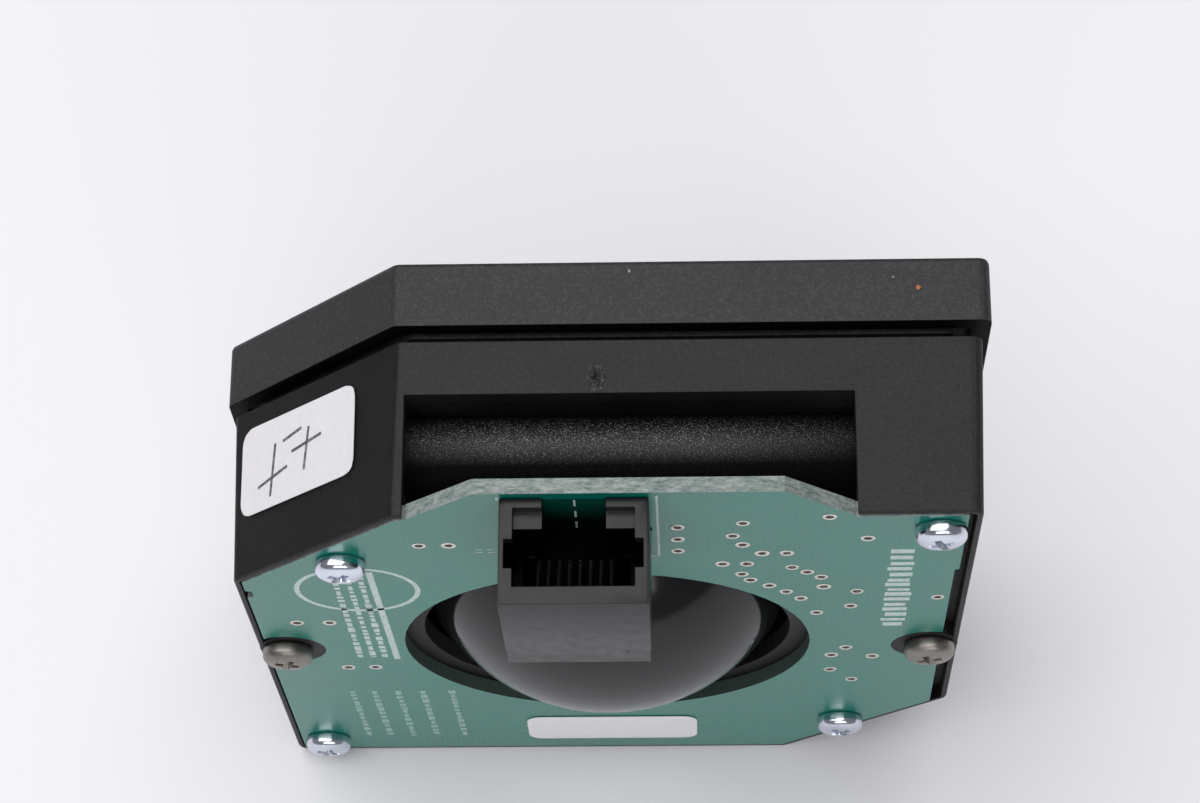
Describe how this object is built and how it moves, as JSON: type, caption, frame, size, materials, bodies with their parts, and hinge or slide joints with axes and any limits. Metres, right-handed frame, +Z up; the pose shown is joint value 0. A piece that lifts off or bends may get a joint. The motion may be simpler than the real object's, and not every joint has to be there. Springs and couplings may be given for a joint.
{
  "type": "trackball module",
  "caption": "Panel trackball module: ball between two roller shafts and an idler in a square two-part housing with two cut corners, a circuit board underneath and a modular jack.",
  "frame": {"origin": "centre of the bounding box's footprint: the module stands on its far edge, on the floor", "axes": "+Z up from the standing edge to the window wall and the jack's mouth, +Y out through the lid and the ball's crown, +X right when the board faces the viewer"},
  "size_m": [0.0794, 0.0486, 0.0829],
  "materials": {
    "housing": "fine spark texture, black",
    "ring": "smooth black",
    "seal": "grey felt",
    "ball": "polished black phenolic",
    "steel": "ground",
    "race": "ground",
    "wheel": "moulded black",
    "board": "green solder mask",
    "jack": "satin black",
    "contact": "gold plated",
    "chip": "moulded epoxy",
    "can": "drawn metal",
    "emitter": "pale resin",
    "detector": "dark resin",
    "zinc": "bright zinc plate",
    "nickel": "dull nickel plate",
    "paper": "white label stock"
  },
  "bodies": {
    "housing": {"base_housing": "housing", "top_housing": "housing", "retaining_ring": "ring", "wiper_seal": "seal", "circuit_board": "board", "modular_jack": "jack", "contact_carrier": "jack", "jack_contact_1": "contact", "jack_contact_2": "contact", "jack_contact_3": "contact", "jack_contact_4": "contact", "jack_contact_5": "contact", "jack_contact_6": "contact", "jack_contact_7": "contact", "jack_contact_8": "contact", "controller_chip": "chip", "line_driver_chip": "chip", "clock_crystal": "can", "supply_capacitor": "can", "x_emitter": "emitter", "x_detector": "detector", "y_emitter": "emitter", "y_detector": "detector", "x_bearing_left": "race", "x_bearing_right": "race", "y_bearing_near": "race", "y_bearing_far": "race", "idler_axle": "steel", "board_screw_near_right": "zinc", "board_screw_near_left": "zinc", "board_screw_far_right": "zinc", "board_screw_far_left": "zinc", "housing_screw_right": "nickel", "housing_screw_left": "nickel", "corner_label": "paper", "board_label": "paper"},
    "ball": {"trackball": "ball"},
    "x_roller": {"x_roller_shaft": "steel", "x_encoder_wheel": "wheel"},
    "y_roller": {"y_roller_shaft": "steel", "y_encoder_wheel": "wheel"},
    "idler": {"idler_roller": "race"}
  },
  "joints": [
    {"name": "ball_roll", "type": "hinge", "parent": "housing", "child": "ball", "pos_m": [0, 0.00209, 0.0384], "axis": [1, 0, 0], "continuous": true},
    {"name": "x_roller_spin", "type": "hinge", "parent": "housing", "child": "x_roller", "pos_m": [0, -0.00434, 0.06238], "axis": [1, 0, 0], "continuous": true},
    {"name": "y_roller_spin", "type": "hinge", "parent": "housing", "child": "y_roller", "pos_m": [-0.02398, -0.00434, 0.0384], "axis": [0, 0, 1], "continuous": true},
    {"name": "idler_spin", "type": "hinge", "parent": "housing", "child": "idler", "pos_m": [0.01764, -0.00459, 0.02076], "axis": [0.7071, 0, 0.7071], "continuous": true}
  ],
  "couplings": [
    {"joint": "x_roller_spin", "follows": "ball_roll", "ratio": -8.89},
    {"joint": "idler_spin", "follows": "ball_roll", "ratio": -4.49}
  ]
}
